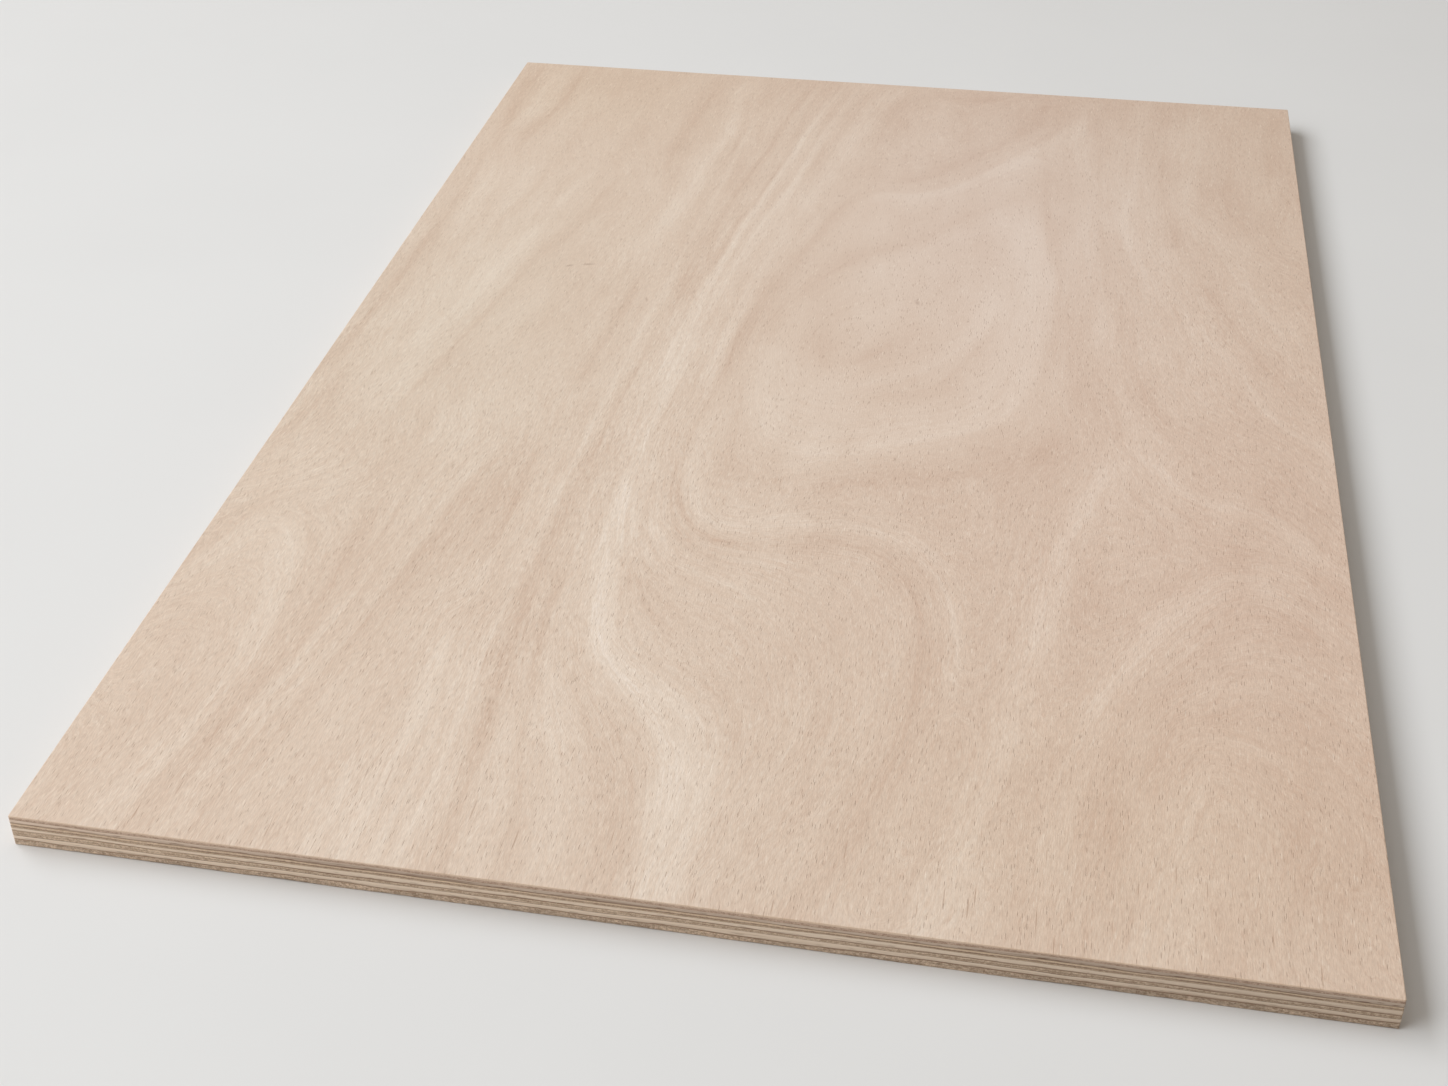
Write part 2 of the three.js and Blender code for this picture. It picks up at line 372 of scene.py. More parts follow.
def face_tone(x, y):
    """How light or dark the growth lines leave each place of the face."""
    total = np.zeros(x.shape)
    for ring, tone, left, right, points in LINES:
        total += tone * line_strength(x, y, points, left, right)
    for tone, width, points in make_strands():
        total += tone * line_strength(x, y, points, width, width)
    return total


# Broad changes of the face. Each place has its middle in mm from the near left corner, how far it
# reaches to the sides and along the sheet, and how much it changes. SWELLS says where the wood is
# lighter (+), RUDDY where it is redder (+), YELLOW where it is yellower (+) or whiter (-), and
# CALMS how much of the fibre a smooth place hides.
SWELLS = [
    (300, 940, 900, 130, -1.2),
    (630, 420, 120, 900, -0.9),
    (410, 620, 150, 170, 0.5),
    (480, 190, 130, 170, -0.5),
    (60, 520, 110, 230, 0.3),
    (190, 380, 80, 90, 0.7),
    (210, 90, 90, 120, 0.6),
    (350, 480, 70, 130, 0.6),
    (500, 90, 110, 110, -0.4),
    (58, 590, 36, 120, 0.4),
]
RUDDY = [(560, 250, 190, 380, 1.0), (60, 450, 120, 220, -0.7)]
YELLOW = [(390, 700, 130, 280, -1.4), (520, 70, 150, 120, 1.0), (60, 860, 90, 90, 0.8)]
CALMS = [(355, 560, 120, 210, 0.65), (300, 860, 900, 240, 0.3), (110, 560, 110, 180, 0.3)]


def swell(x, y, middle_x, middle_y, reach_x, reach_y, power=2):
    """1 at the middle of a place, falling to 0 round it."""
    return np.exp(-((x - middle_x) / reach_x) ** power - ((y - middle_y) / reach_y) ** power)


def broad_field(x, y, places):
    return sum(amount * swell(x, y, *place) for *place, amount in places)


def face_calm(x, y):
    """How much of the fibre the smooth places hide."""
    return 1 - math.prod(1 - hidden * swell(x, y, *place, power=4) for *place, hidden in CALMS)


SHEET_UNIT = 100
RING_SLACK = 0.06
COARSE = 6


def plate_bend(places, knots):
    """How a thin plate pushed up at each knot bends at each place."""
    square = ((places[:, None] - knots[None]) ** 2).sum(axis=2)
    return 0.5 * square * np.log(square + TINY)


def ring_field():
    """A smooth surface of ring counts through the growth lines: its knots and their weights."""
    knots = np.vstack([points for *_, points in LINES]) / SHEET_UNIT
    rings = [ring for ring, *_, points in LINES for point in points]
    count = len(knots)
    flat = np.column_stack([np.ones(count), knots])
    bend = plate_bend(knots, knots) + RING_SLACK * np.eye(count)
    system = np.block([[bend, flat], [flat.T, np.zeros((3, 3))]])
    return knots, np.linalg.solve(system, np.concatenate([rings, np.zeros(3)]))


def face_rings(x, y):
    """The ring count at each place of a grid of lines x and y."""
    knots, weights = ring_field()
    coarse_x = np.linspace(x[0], x[-1], int(np.ptp(x) / COARSE) + 2)
    coarse_y = np.linspace(y[0], y[-1], int(np.ptp(y) / COARSE) + 2)
    rows = []
    for row in coarse_y:
        places = np.column_stack([coarse_x, np.full(coarse_x.shape, row)]) / SHEET_UNIT
        sloped = weights[-3] + places @ weights[-2:]
        rows.append(plate_bend(places, knots) @ weights[:-3] + sloped)
    rows = np.array([np.interp(x, coarse_x, row) for row in rows])
    return np.array([np.interp(y, coarse_y, column) for column in rows.T]).T


RINGS_CLOSE = 0.09
RINGS_CLOSEST = 0.1
PACES = 5


def ring_pace(rings_per_mm):
    """0 where the rings lie closest, and 1 less each time they lie twice as far apart."""
    return np.log2(np.clip(rings_per_mm / RINGS_CLOSEST, 2.0 ** (1 - PACES), 1))


# The flames of the back veneer, as places that bulge by a number of growth rings.
FLAMES = [(160, 210, 60, 300, 4.4), (300, 880, 66, 360, -4.8), (455, 330, 56, 330, 3.4),
          (540, 900, 50, 260, 2.6)]
BACK_RING = 24
LATTICE_START = 1000


def back_rings(x, y):
    """The ring count at places of the back veneer."""
    sway = 0.35 * np.sin(y / 170 + x / 110) + 0.14 * np.sin(y / 67 - x / 150)
    return x / BACK_RING + sway + broad_field(x, y, FLAMES)


def back_pace(x, y):
    slope_x = back_rings(x + 0.5, y) - back_rings(x - 0.5, y)
    slope_y = back_rings(x, y + 0.5) - back_rings(x, y - 0.5)
    return ring_pace(np.hypot(slope_x, slope_y))


def drift(x, y, cell_x, cell_y):
    """A smooth random field from -1 to 1 with swells of about that many mm."""
    column = (x + LATTICE_START) / cell_x
    row = (y + LATTICE_START) / cell_y
    lattice = rng.uniform(-1, 1, (int(row.max()) + 3, int(column.max()) + 3))
    i = column.astype(int)
    j = row.astype(int)
    u = column - i
    v = row - j
    u = u * u * (3 - 2 * u)
    v = v * v * (3 - 2 * v)
    near = lattice[j, i] * (1 - u) + lattice[j, i + 1] * u
    far = lattice[j + 1, i] * (1 - u) + lattice[j + 1, i + 1] * u
    return near * (1 - v) + far * v


# ---- The shape of the veneers ----

EDGE_LINES = (0.0, 0.2, 0.45, 0.8, 1.5, 3.0)
STEP_ACROSS = 1.75
STEP_ALONG = 3.9
INNER_HEIGHTS = (0.04, 0.14, 0.3, 0.5, 0.7, 0.86, 0.96)
FACE_HEIGHTS = (0.06, 0.2, 0.45, 0.75)
BACK_HEIGHTS = (0.2, 0.4, 0.6, 0.78, 0.9, 0.96)
BACK_TURNS = (0, 30, 60, 90)
FOOT_SETBACK = 0.8
UNDER_STEP = 8
CREASE = math.radians(35)

# What the marks of a sawn edge say over the face.
OFF_THE_EDGE = 2.0


def sheet_lines(half, step):
    """Places from one edge to the other, closer together at both, where the arrises bend."""
    middle = half - EDGE_LINES[-1]
    inside = np.linspace(-middle, middle, round(2 * middle / step) + 1)
    outside = half - np.array(EDGE_LINES[:-1])
    return np.concatenate([-outside, inside, outside[::-1]])


def grid_numbers(count_x, count_y):
    return np.arange(count_x * count_y).reshape(count_y, count_x)


def grid_rim(count_x, count_y):
    """The numbers of the points round a grid, anticlockwise from above."""
    number = grid_numbers(count_x, count_y)
    return np.concatenate([number[0], number[1:, -1], number[-1, -2::-1], number[-2:0:-1, 0]])


def grid_quads(count_x, count_y):
    """The quads of a grid that faces up, by the numbers of its points."""
    first = grid_numbers(count_x, count_y)[:-1, :-1].ravel()
    return np.column_stack([first, first + 1, first + count_x + 1, first + count_x])


LINES_X = sheet_lines(HALF_WIDTH, STEP_ACROSS)
LINES_Y = sheet_lines(HALF_LENGTH, STEP_ALONG)
COUNT_X = len(LINES_X)
COUNT_Y = len(LINES_Y)
RIM = grid_rim(COUNT_X, COUNT_Y)
RIM_COUNT = len(RIM)
NEXT = (np.arange(RIM_COUNT) + 1) % RIM_COUNT


def round_corners(x, y, half_x, half_y):
    """Moves what lies in the four corner squares in to round corners.

    Returns the new places and how far each is from the edge, up to the corner radius."""
    straight_x = half_x - CORNER_RADIUS
    straight_y = half_y - CORNER_RADIUS
    u = np.abs(x) - straight_x
    v = np.abs(y) - straight_y
    in_corner = (u > 0) & (v > 0)
    pull = np.where(in_corner, np.maximum(u, v) / np.maximum(np.hypot(u, v), TINY), 1)
    new_x = np.where(in_corner, np.sign(x) * (straight_x + u * pull), x)
    new_y = np.where(in_corner, np.sign(y) * (straight_y + v * pull), y)
    return new_x, new_y, CORNER_RADIUS - np.maximum(u, v)


def rim_outline(half_x, half_y):
    """Places round a veneer of that half width and half length, and the way out of it at each."""
    x = LINES_X[RIM % COUNT_X] * half_x / HALF_WIDTH
    y = LINES_Y[RIM // COUNT_X] * half_y / HALF_LENGTH
    x, y, inside = round_corners(x, y, half_x, half_y)
    outline = np.column_stack([x, y])
    straight = np.array([half_x, half_y]) - CORNER_RADIUS
    out = outline - np.clip(outline, -straight, straight)
    return outline, out / np.linalg.norm(out, axis=1, keepdims=True)


def rim_ring(outline, out, inset, height):
    """Points round a veneer, set in from its outline, at that height."""
    return np.column_stack([outline - out * inset[:, None], height])


def rough_line(width):
    """A random line round the rim with a mean of 0, and swells of about that many places."""
    window = np.hanning(width + 2)
    noise = rng.normal(0, 1, RIM_COUNT)
    smooth = np.fft.ifft(np.fft.fft(noise) * np.fft.fft(window, RIM_COUNT)).real
    return smooth / smooth.std()


def glue_line(level):
    """The ring that two veneers share: a shallow groove, gently wavy."""
    outline, out = rim_outline(HALF_WIDTH, HALF_LENGTH)
    depth = GLUE_SETBACK + GLUE_GROOVE * (1 + 0.25 * rough_line(6))
    wave = np.clip(0.7 * rough_line(50) + 0.25 * rough_line(14), -WAVE_LIMIT, WAVE_LIMIT)
    return rim_ring(outline, out, depth, LEVELS[level] + GLUE_WAVE * wave)


def veneer_rows(node, below, above, heights):
    """Rings of points up a veneer's sawn edge, between its two glue lines."""
    low, high = BOXES[node]
    outline, out = rim_outline(high[0], high[1])
    grain = np.array([1, 0]) if node in ACROSS else np.array([0, 1])
    end_grain = np.abs(out @ grain)
    rows = []
    long_swell = rough_line(24)
    for share in heights:
        fuzz = rough_line(2)
        torn = 0.6 * long_swell + rough_line(16)
        cut = SAW_MARKS * np.abs(end_grain * fuzz + (1 - end_grain) * torn)
        eased = GLUE_EASING * np.exp(-np.minimum(share, 1 - share) / EASING_REACH)
        height = below[:, 2] * (1 - share) + above[:, 2] * share
        rows.append(rim_ring(outline, out, np.minimum(cut, DEEPEST_CUT) + eased, height))
    return rows


def ring_numbers(count, first=0):
    """The point numbers of that many rings round the rim."""
    return list(first + np.arange(count * RIM_COUNT).reshape(count, RIM_COUNT))


def ring_faces(rings):
    """Quads between rings of the rim, from the lowest ring to the highest."""
    pairs = zip(rings[:-1], rings[1:])
    return np.vstack([np.column_stack([low, low[NEXT], high[NEXT], high]) for low, high in pairs])


def fan_up(ring, centre):
    """Triangles that close a ring to its centre, seen from above."""
    return np.column_stack([ring, ring[NEXT], np.full(RIM_COUNT, centre)])


def fan_down(ring, centre):
    return np.column_stack([ring[NEXT], ring, np.full(RIM_COUNT, centre)])


def build_piece(name, points, quads, triangles, marks):
    """A mesh object from points in mm, faces, and named values at the points."""
    mesh = bpy.data.meshes.new(name)
    mesh.from_pydata((points * MM).tolist(), [], quads.tolist() + triangles.tolist())
    for mark, values in marks.items():
        attribute = mesh.attributes.new(mark, "FLOAT", "POINT")
        attribute.data.foreach_set("value", values.astype(np.float32))
    mesh.shade_smooth()
    mesh.set_sharp_from_angle(angle=CREASE)
    piece = bpy.data.objects.new(name, mesh)
    bpy.context.scene.collection.objects.link(piece)
    return piece


def edge_marks(rim, below, above):
    """How high each rim point is in its veneer, from 0 to 1, and how far it is over the glue line
    below it and under the one above it, in mm."""
    rows = len(rim) // RIM_COUNT
    low = np.tile(below[:, 2], rows)
    high = np.tile(above[:, 2], rows)
    over = rim[:, 2] - low
    return over / (high - low), over, high - rim[:, 2]


def inner_veneer(node, below, above):
    """A veneer between two others: all that shows of it is its sawn edge."""
    rim = np.vstack([below, *veneer_rows(node, below, above, INNER_HEIGHTS), above])
    rise, over, under = edge_marks(rim, below, above)
    level = STACK.index(node)
    points = np.vstack([rim, [[0, 0, LEVELS[level]], [0, 0, LEVELS[level + 1]]]])
    rings = ring_numbers(len(INNER_HEIGHTS) + 2)
    ends = np.vstack([fan_down(rings[0], len(rim)), fan_up(rings[-1], len(rim) + 1)])
    marks = {"glue": np.concatenate([np.minimum(over, under), [1, 1]]),
             "rise": np.concatenate([rise, [0, 1]])}
    return build_piece(node + "_cut", points, ring_faces(rings), ends, marks)


def arris_drop(inside, arris):
    """How far a rounded arris has dropped at that distance inside the edge."""
    short = np.clip(arris - inside, 0, arris)
    return arris - np.sqrt(arris**2 - short**2)


def face_piece(below):
    """The face veneer: a sanded top with a soft arris round it, over its sawn edge."""
    low, high = BOXES["face_veneer"]
    grid_x, grid_y = np.meshgrid(LINES_X * high[0] / HALF_WIDTH, LINES_Y)
    x, y, inside = round_corners(grid_x, grid_y, high[0], high[1])
    worn = FACE_ARRIS * (1 + 0.22 * drift(x, y, 40, 60))
    sideways = 1.0 * drift(x, y, 25, 60) + 0.6 * drift(x, y, 8, 34)
    endways = 1.5 * drift(x, y, 30, 40) + 1.0 * drift(x, y, 9, 14)
    tone = face_tone((x + sideways).ravel() + HALF_WIDTH, (y + endways).ravel() + HALF_LENGTH)
    rings = face_rings(LINES_X + HALF_WIDTH, LINES_Y + HALF_LENGTH)
    rings_per_mm = np.hypot(*np.gradient(rings, LINES_Y, LINES_X))
    sanded = SANDED_RELIEF * (1 - np.clip(tone, -1, 1)).reshape(x.shape)
    flat = inside > CORNER_RADIUS
    dropped = arris_drop(inside, np.clip(worn, *FACE_ARRIS_RANGE))
    z = THICKNESS - dropped - np.where(flat, sanded, 0)
    top = np.column_stack([x.ravel(), y.ravel(), z.ravel()])

    edge_top = top[RIM]
    rim = np.vstack([below, *veneer_rows("face_veneer", below, edge_top, FACE_HEIGHTS)])
    points = np.vstack([top, rim, [[0, 0, LEVELS[-2]]]])
    row_count = len(FACE_HEIGHTS) + 1
    rim_rings = ring_numbers(row_count, len(top)) + [RIM]
    quads = np.vstack([grid_quads(COUNT_X, COUNT_Y), ring_faces(rim_rings)])

    def mark(over_the_top, down_the_rim):
        return np.concatenate([over_the_top.ravel(), down_the_rim, [0]])

    places = (x + HALF_WIDTH, y + HALF_LENGTH)
    over_the_top = {
        "tone": tone,
        "ring": rings,
        "packing": np.clip(rings_per_mm / RINGS_CLOSE, 0, 1),
        "pace": ring_pace(rings_per_mm),
        "shade": broad_field(*places, SWELLS),
        "ruddy": broad_field(*places, RUDDY),
        "yellow": broad_field(*places, YELLOW),
        "calm": face_calm(*places),
    }
    marks = {name: mark(values, np.tile(values.ravel()[RIM], row_count))
             for name, values in over_the_top.items()}
    rise, over, under = edge_marks(rim, below, edge_top)
    marks["edge"] = mark(inside, np.zeros(len(rim)))
    marks["rise"] = mark(np.full(x.shape, OFF_THE_EDGE), rise)
    marks["glue"] = mark(np.full(x.shape, OFF_THE_EDGE), over)
    return build_piece("face_veneer_sanded", points, quads, fan_down(rim_rings[0], len(points) - 1), marks)


def under_stitches(points, inside):
    """Triangles that join the foot of the rim, the first points, to those points inside it."""
    apart = points[:RIM_COUNT, None] - points[None, inside]
    near = inside[(apart**2).sum(axis=2).argmin(axis=1)]
    foot = np.arange(RIM_COUNT)
    outer = np.column_stack([NEXT, foot, near])
    inner = np.column_stack([near, near[NEXT], NEXT])[near[NEXT] != near]
    return np.vstack([outer, inner])


def back_piece(above):
    """The back veneer: a flat underside inside a worn arris."""
    low, high = BOXES["back_veneer"]
    outline, out = rim_outline(high[0], high[1])
    worn = BACK_ARRIS * (1 + 0.25 * rough_line(20) + 0.1 * rough_line(3))
    arris = np.clip(worn, *BACK_ARRIS_RANGE)
    rows = [rim_ring(outline, out, arris + FOOT_SETBACK, np.zeros(RIM_COUNT))]
    for turn in BACK_TURNS:
        angle = math.radians(turn)
        rows.append(rim_ring(outline, out, arris * (1 - math.sin(angle)), arris * (1 - math.cos(angle))))
    rows += veneer_rows("back_veneer", rows[-1], above, BACK_HEIGHTS)
    rows.append(above)
    rim = np.vstack(rows)
    rings = ring_numbers(len(rows))

    reach_x = high[0] - UNDER_STEP / 2
    reach_y = high[1] - UNDER_STEP / 2
    count_x = round(2 * reach_x / UNDER_STEP) + 1
    count_y = round(2 * reach_y / UNDER_STEP) + 1
    flat_x, flat_y = np.meshgrid(np.linspace(-reach_x, reach_x, count_x),
                                 np.linspace(-reach_y, reach_y, count_y))
    flat = np.column_stack([flat_x.ravel(), flat_y.ravel(), np.zeros(flat_x.size)])
    points = np.vstack([rim, flat, [[0, 0, LEVELS[1]]]])
    stitches = under_stitches(points, len(rim) + grid_rim(count_x, count_y))
    under = len(rim) + grid_quads(count_x, count_y)[:, ::-1]
    places = (points[:, 0] + HALF_WIDTH, points[:, 1] + HALF_LENGTH)
    under_glue = np.tile(above[:, 2], len(rows)) - rim[:, 2]
    marks = {
        "glue": np.concatenate([under_glue, np.full(len(flat) + 1, LEVELS[1])]),
        "ring": back_rings(*places),
        "pace": back_pace(*places),
    }
    return build_piece("back_veneer_cut", points, np.vstack([ring_faces(rings), under]),
                       np.vstack([stitches, fan_up(rings[-1], len(points) - 1)]), marks)


# ---- Shader sockets and nodes ----


class Signal:
    """A socket whose value changes over a surface. Sums on it add Math nodes."""

    def __init__(self, finish, socket):
        self.finish = finish
        self.socket = socket

    def math(self, operation, *values):
        return self.finish.node("Math", {"operation": operation}, values)

    def beside(self, output):
        """Another output of the same node."""
        return Signal(self.finish, self.socket.node.outputs[output])

    def __add__(self, other):
        return self.math("ADD", self, other)

    __radd__ = __add__

    def __sub__(self, other):
        return self.math("SUBTRACT", self, other)

    def __rsub__(self, other):
        return self.math("SUBTRACT", other, self)

    def __mul__(self, other):
        return self.math("MULTIPLY", self, other)

    __rmul__ = __mul__

    def __abs__(self):
        return self.math("ABSOLUTE", self)


def paint(red, green, blue):
    """A colour of 0 to 255, as a screen shows it, in the numbers that Blender's sockets take."""
    screen = [channel / 255 for channel in (red, green, blue)]
    linear = [c / 12.92 if c <= 0.04045 else ((c + 0.055) / 1.055) ** 2.4 for c in screen]
    return (*linear, 1.0)


class Finish:
    """The nodes of one material, or of the world."""

    def __init__(self, owner):
        owner.use_nodes = True
        self.owner = owner
        self.tree = owner.node_tree
        self.tree.nodes.clear()

    def node(self, kind, settings=None, inputs=(), output=0):
        """Adds a shader node: its settings first, then the values or links of its sockets."""
        node = self.tree.nodes.new("ShaderNode" + kind)
        for name, value in (settings or {}).items():
            if name == "stops":
                self.set_stops(node.color_ramp.elements, value)
            else:
                setattr(node, name, value)
        pairs = inputs.items() if isinstance(inputs, dict) else enumerate(inputs)
        for name, value in pairs:
            if isinstance(value, Signal):
                self.tree.links.new(value.socket, node.inputs[name])
            else:
                node.inputs[name].default_value = value
        return Signal(self, node.outputs[output]) if node.outputs else None

    @staticmethod
    def set_stops(elements, stops):
        for index, (position, color) in enumerate(stops):
            element = elements[index] if index < 2 else elements.new(position)
            element.position = position
            element.color = color

    def vector(self, operation, *values, output=0):
        return self.node("VectorMath", {"operation": operation}, values, output)

    def attribute(self, name):
        return self.node("Attribute", {"attribute_name": name}, output="Fac")

    def spot(self):
        return self.node("TexCoord", output="Object")

    def place(self, cell_x, cell_y, cell_z, shift=(0, 0, 0)):
        """The place on the piece, counted in cells of that many mm each way."""
        scale = (1 / (MM * cell_x), 1 / (MM * cell_y), 1 / (MM * cell_z))
        return self.vector("MULTIPLY_ADD", self.spot(), scale, shift)

    def part(self, vector, axis):
        return self.node("SeparateXYZ", {}, (vector,), output=axis)

    def facing(self, direction):
        """1 where the surface faces that way, 0 square to it and -1 facing away."""
        normal = self.node("TexCoord", output="Normal")
        return self.vector("DOT_PRODUCT", normal, direction, output="Value")

    def away(self, spot):
        """How far a spot is from the origin."""
        return self.vector("LENGTH", spot, output="Value")

    def noise(self, place, detail=2.0, roughness=0.5):
        return self.node("TexNoise", {},
                         {"Vector": place, "Scale": 1.0, "Detail": detail, "Roughness": roughness})

    def grain(self, ring, count, length, shift=0.0, detail=1.0):
        """Noise in strokes of about that many mm along the growth rings, that many to a ring."""
        place = self.place(length, length, 1000, (shift, shift, shift))
        across = self.vector("MULTIPLY_ADD", ring, (0, 0, count), place)
        return self.noise(across, detail, 0.55) - 0.5

    def strokes(self, ring, pace, count, length, shift):
        """Strokes along the growth rings, about as fine where the rings lie close as where they
        lie apart: that many to a ring at pace 0, and twice as many at each pace below."""
        total = 0
        for octave in range(PACES):
            here = self.node("Math", {"operation": "MAXIMUM"}, (1 - abs(pace + octave), 0.0))
            total = here * self.grain(ring, count * 2**octave, length, shift + octave) + total
        return total

    def dashes(self, place, share, size):
        """Separate marks, 1 at the middle of each, in that share of the cells of a flat place."""
        cell = self.node("TexVoronoi", {"voronoi_dimensions": "2D"}, {"Vector": place, "Scale": 1.0},
                         output="Color")
        reach = self.step(self.part(cell, "X"), 1 - share, 1) * size
        return self.step(reach - cell.beside("Distance"), 0, size / 2)

    def scar(self, x, y, length, width, turn):
        """One mark in the face, in mm from the near left corner, turned from the grain by degrees."""
        middle = ((x - HALF_WIDTH) * MM, (y - HALF_LENGTH) * MM, THICKNESS * MM)
        turned = (0, 0, math.radians(turn))
        size = (width * MM / 2, length * MM / 2, 1)
        spot = self.node("Mapping", {"vector_type": "TEXTURE"}, (self.spot(), middle, turned, size))
        return 1 - self.step(self.away(spot), 0.1, 1)

    def step(self, value, low, high):
        """0 where the value is under low, 1 where it is over high, and smooth between."""
        return self.node("MapRange", {"interpolation_type": "SMOOTHSTEP"},
                         {"Value": value, "From Min": low, "From Max": high})

    def mix(self, factor, first, second):
        return self.node("Mix", {"data_type": "RGBA"}, {0: factor, 6: first, 7: second}, output=2)

    def brighten(self, color, times):
        """The colour, as many times as bright."""
        return self.node("VectorMath", {"operation": "SCALE"}, {0: color, "Scale": times})

    def tint(self, color, amount, change):
        """The colour, with its red, green and blue changed by those shares where amount is 1."""
        return self.vector("MULTIPLY", color, self.vector("MULTIPLY_ADD", amount, change, (1, 1, 1)))

    def ramp(self, value, stops):
        return self.node("ValToRGB", {"stops": stops}, {0: value})

    def bump(self, height, depth):
        """A bump that stands that many mm higher where height is 1 than where it is 0."""
        return self.node("Bump", {}, {"Height": height, "Distance": depth * MM, "Strength": 1.0},
                         output="Normal")

    def shader(self, color, roughness, normal, shine):
        return self.node("BsdfPrincipled", {}, {"Base Color": color, "Roughness": roughness,
                                                "Normal": normal, "Specular IOR Level": shine})

    def surface(self, color, roughness, normal, shine):
        shader = self.shader(color, roughness, normal, shine)
        self.node("OutputMaterial", {}, (shader,))
        return self.owner


def new_finish(name):
    return Finish(bpy.data.materials.new(name))


# ---- The finishes of the wood ----

# Tones run from dark to light. REDDER and YELLOWER change red, green and blue by those shares.
FACE_TONES = ((0.0, paint(188, 158, 137)), (0.3, paint(203, 178, 158)), (0.5, paint(213, 192, 173)),
              (0.72, paint(223, 206, 189)), (1.0, paint(235, 222, 210)))
FACE_PORE = paint(154, 124, 102)
FACE_SPLIT = paint(162, 128, 104)
# Painted highlight of raised grain on the face.
FACE_GRAIN_HIGHLIGHT = paint(244, 232, 216)
FACE_SCAR = paint(128, 96, 76)
REDDER = (0.026, -0.004, 0.0)
YELLOWER = (0.0, 0.0, -0.026)

ARRIS_HONEY = paint(226, 196, 166)
FACE_CUT_DARK = paint(166, 138, 118)
FACE_CUT_LIGHT = paint(214, 187, 167)
# A painted highlight along the top of the face veneer's sawn edge.
FACE_CUT_HIGHLIGHT = paint(234, 207, 183)
FACE_CUT_FOOT = paint(130, 102, 82)

GLUE_STAIN = paint(120, 94, 75)
TORN_FLECK = paint(124, 98, 78)
PALE_LINE = paint(242, 224, 204)
HONEY_LINE = paint(240, 214, 184)
DARK_LINE = paint(116, 90, 70)

BACK_TONES = ((0.0, paint(170, 138, 114)), (0.4, paint(199, 171, 147)), (0.62, paint(212, 188, 165)),
              (1.0, paint(228, 210, 190)))
BACK_KNOT = paint(104, 74, 56)
BACK_PORE = paint(136, 104, 82)
BACK_END_GRAIN = (paint(162, 136, 114), paint(236, 213, 189))
BACK_LONG_GRAIN = (paint(172, 144, 120), paint(218, 192, 166))

# The looks of the sawn edges: the colours, how much paler a veneer gets towards its top (a painted
# highlight where its top rim catches the light), how dark its torn flecks are and how much paler its
# left end is (painted light, nearest the lamps). The lines run along the edge: each has its
# height in the veneer, from 0 to 1, its width there, its strength and its colour.
CREAM = {"light": paint(234, 214, 193), "dark": paint(190, 164, 141), "rise": 0.38, "flecks": 0.4,
         "left": 0.04, "lines": [(0.88, 0.2, 0.7, PALE_LINE), (0.05, 0.16, 0.6, DARK_LINE)]}
GREY = {"light": paint(212, 192, 174), "dark": paint(158, 135, 117), "rise": 0.2, "flecks": 0.85,
        "left": 0.2, "lines": [(0.92, 0.12, 0.3, PALE_LINE), (0.05, 0.14, 0.5, DARK_LINE)]}
TAN = {"light": paint(236, 213, 188), "dark": paint(176, 150, 127), "rise": 0.0, "flecks": 0.3,
       "left": 0.04, "lines": [(0.52, 0.24, 0.3, DARK_LINE), (0.06, 0.18, 0.7, DARK_LINE)]}
BROWN = {"light": paint(228, 203, 178), "dark": paint(172, 146, 124), "rise": 0.0, "flecks": 0.3,
         "left": 0.04, "lines": [(0.86, 0.3, 0.75, HONEY_LINE), (0.42, 0.26, 0.6, DARK_LINE),
                                 (0.18, 0.14, 0.5, HONEY_LINE), (0.03, 0.14, 0.7, DARK_LINE)]}
LOOKS = {
    "lower_crossband": ("crossband", CREAM),
    "lower_inner_veneer": ("inner_veneer", TAN),
    "middle_crossband": ("crossband", CREAM),
    "upper_inner_veneer": ("inner_veneer", BROWN),
    "upper_crossband": ("crossband", GREY),
}
# How much painted shade darkens the sawn edges at the sheet's right side, away from the lamps.
RIGHT_SHADE_PAINTED = 0.15
BACK_RIGHT_SHADE_PAINTED = 0.17
FACE_BUMP = 0.10
FACE_SHINE = 0.15
EDGE_BUMP = 0.14
EDGE_SHINE = 0.12


def end_grain_specks(wood, shift):
    """The cut ends of the fibres: dark pores and pale wood, in specks."""
    coarse = wood.noise(wood.place(1.4, 60, 0.9, shift), 2, 0.6)
    fine = wood.noise(wood.place(0.42, 60, 0.34, shift), 3, 0.7)
    return wood.step(coarse * 0.45 + fine * 0.55, 0.34, 0.66)


def painted_shade_right(wood):
    """Painted shade on the sawn edges, which darken towards the sheet's right side, away from the lamps: 0
    at its middle, 1 at that side.
    """
    return wood.step(wood.part(wood.spot(), "X"), -0.1 * HALF_WIDTH * MM, HALF_WIDTH * MM)


def left_end(wood):
    """Painted light on the sawn edges, which are paler towards the sheet's left side, nearest the lamps: 0
    at its middle, 1 at that side. It also fades the lines along them there.
    """
    return 1 - wood.step(wood.part(wood.spot(), "X"), -HALF_WIDTH * MM, -0.35 * HALF_WIDTH * MM)


def near_end(wood):
    """Open splits gather at the sheet's near end: 1 there, and 0 further in."""
    y = wood.part(wood.spot(), "Y")
    return 1 - wood.step(y, -0.98 * HALF_LENGTH * MM, -0.7 * HALF_LENGTH * MM)


